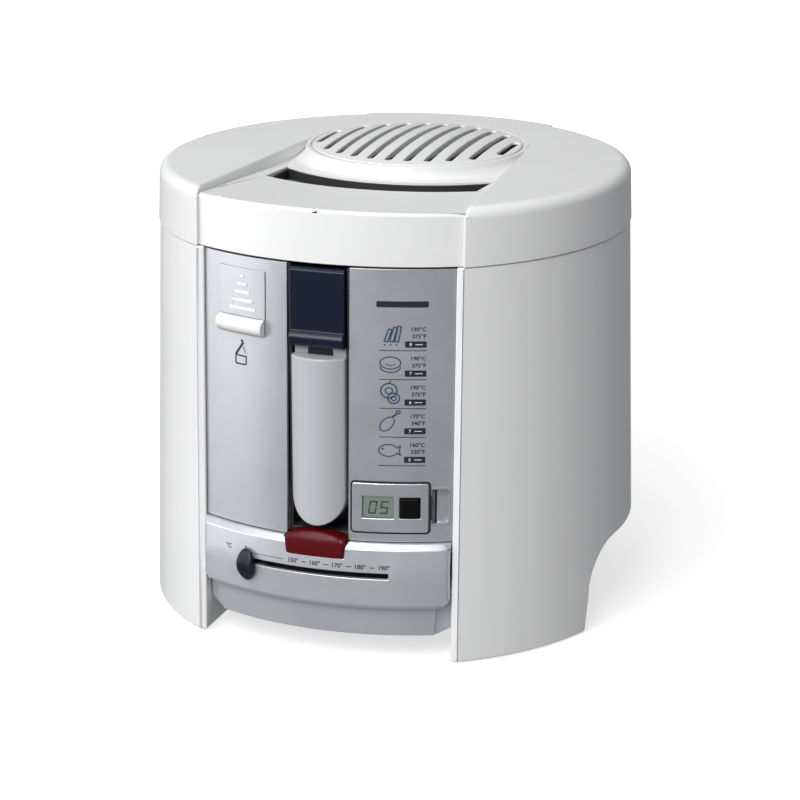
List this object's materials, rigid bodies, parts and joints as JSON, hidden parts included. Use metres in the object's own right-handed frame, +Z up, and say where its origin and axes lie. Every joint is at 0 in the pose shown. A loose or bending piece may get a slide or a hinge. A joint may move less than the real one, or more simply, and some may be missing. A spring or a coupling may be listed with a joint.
{
  "type": "deep fryer",
  "caption": "Round household deep fryer with a hinged lid, window, slotted filter cover, folding basket handle, temperature slider and timer.",
  "frame": {"origin": "on the ground under the middle of the body's bounding box, which is the vertical axis of the round shell", "axes": "+Z up; -Y is the front with the handle; +X is to the right for someone facing the front"},
  "size_m": [0.2674, 0.267, 0.2496],
  "materials": {
    "white_plastic": "smooth gloss moulding",
    "silver_paint": "fine metallic silver paint on plastic",
    "grip_plastic": "light grey metallic paint",
    "navy_plastic": "smooth navy moulding",
    "dark_plastic": "fine spark-eroded texture",
    "grey_plastic": "matt heat-resistant moulding",
    "white_inner": "matt heat-resistant moulding",
    "button_black": "smooth black moulding",
    "red_lens": "ribbed translucent red",
    "lamp_amber": "neon lamp",
    "lcd": "reflective segment display",
    "window_glass": "clear heat-resistant window",
    "rubber_black": "matt",
    "gasket_grey": "satin silicone",
    "steel": "plated",
    "basket_wire": "bright plated wire",
    "bowl_coating": "dark speckled non-stick coating",
    "heater_alloy": "as cast",
    "ceramic": "steatite",
    "foam": "open-cell foam",
    "carbon": "charcoal felt",
    "circuit_green": "solder resist"
  },
  "bodies": {
    "housing": {"outer_shell": "white_plastic", "left_panel": "silver_paint", "right_panel": "silver_paint", "control_band": "silver_paint", "niche_liner": "dark_plastic", "base_plate": "dark_plastic", "feet": "rubber_black", "base_screws": "steel", "top_deck": "white_inner", "heat_shield": "steel", "heater_plate": "heater_alloy", "heating_element": "steel", "thermostat": "ceramic", "thermal_fuse": "steel", "terminal_block": "white_inner", "cord_gland": "rubber_black", "rating_plate": "steel", "indicator_lens": "red_lens", "indicator_lamp": "lamp_amber", "timer_tray": "grey_plastic", "bowl": "bowl_coating", "carriage_guide": "grey_plastic", "hinge_bracket": "grey_plastic", "hinge_pin": "steel", "hinge_spring": "steel", "handle_pin": "steel", "slider_track": "dark_plastic", "latch_pin": "steel", "release_spring": "steel"},
    "temperature_slider": {"temperature_knob": "navy_plastic", "slider_carriage": "dark_plastic"},
    "release": {"release_slider": "silver_paint", "release_bar": "white_plastic"},
    "latch": {"latch_hook": "grey_plastic"},
    "lid": {"lid_outer": "white_plastic", "lid_inner": "white_inner", "lid_gasket": "gasket_grey", "lid_catch": "grey_plastic", "lid_screws": "steel", "window_pane": "window_glass", "window_gasket": "rubber_black", "filter_tray": "white_inner", "foam_filter": "foam", "carbon_filter": "carbon"},
    "cover": {"filter_cover": "white_plastic"},
    "handle": {"handle_frame": "steel", "handle_grip": "grip_plastic", "crank_pin": "steel", "slide_spring": "steel"},
    "handle_lock": {"handle_slide": "navy_plastic"},
    "links": {"lift_links": "steel"},
    "basket_lift": {"lift_carriage": "grey_plastic", "basket": "basket_wire", "basket_rim": "basket_wire", "basket_bracket": "basket_wire"},
    "timer": {"timer_housing": "silver_paint", "timer_display": "lcd", "timer_board": "circuit_green", "timer_battery": "steel"},
    "timer_key": {"timer_button": "button_black"}
  },
  "joints": [
    {"name": "lid_hinge", "type": "hinge", "parent": "housing", "child": "lid", "pos_m": [0, 0.1263, 0.2138], "axis": [-1, 0, 0], "range_deg": [0, 82]},
    {"name": "cover_lift", "type": "slide", "parent": "lid", "child": "cover", "axis": [0, 0, 1], "range_m": [0, 0.02]},
    {"name": "temperature_slide", "type": "hinge", "parent": "housing", "child": "temperature_slider", "pos_m": [0, 0.028, 0.0497], "axis": [0, 0, 1], "range_deg": [0, 28]},
    {"name": "lid_release", "type": "slide", "parent": "housing", "child": "release", "axis": [0, 0, 1], "range_m": [0, 0.004], "stiffness_N_per_m": 500, "deforming": ["release_spring"]},
    {"name": "latch_swing", "type": "hinge", "parent": "housing", "child": "latch", "pos_m": [-0.0445, -0.106, 0.192], "axis": [-1, 0, 0], "range_deg": [0, 6.2]},
    {"name": "handle_raise", "type": "hinge", "parent": "housing", "child": "handle", "pos_m": [0, -0.1145, 0.2015], "axis": [-1, 0, 0], "range_deg": [0, 90]},
    {"name": "handle_unlock", "type": "slide", "parent": "handle", "child": "handle_lock", "axis": [0, 0, -1], "range_m": [0, 0.004], "stiffness_N_per_m": 500, "deforming": ["slide_spring"]},
    {"name": "link_swing", "type": "hinge", "parent": "handle", "child": "links", "pos_m": [0, -0.1145, 0.1775], "axis": [-1, 0, 0], "range_deg": [-123.6, 0]},
    {"name": "basket_raise", "type": "slide", "parent": "housing", "child": "basket_lift", "axis": [0, 0, 1], "range_m": [0, 0.0418]},
    {"name": "timer_pull", "type": "slide", "parent": "housing", "child": "timer", "axis": [0, -1, 0], "range_m": [0, 0.014]},
    {"name": "timer_press", "type": "slide", "parent": "timer", "child": "timer_key", "axis": [0, 1, 0], "range_m": [0, 0.001], "stiffness_N_per_m": 800}
  ],
  "couplings": [
    {"joint": "latch_swing", "follows": "lid_release", "rad_per_m": 26.18},
    {"joint": "link_swing", "follows": "handle_raise", "ratio": -1.3698},
    {"joint": "basket_raise", "follows": "handle_raise", "m_per_rad": 0.0265}
  ]
}
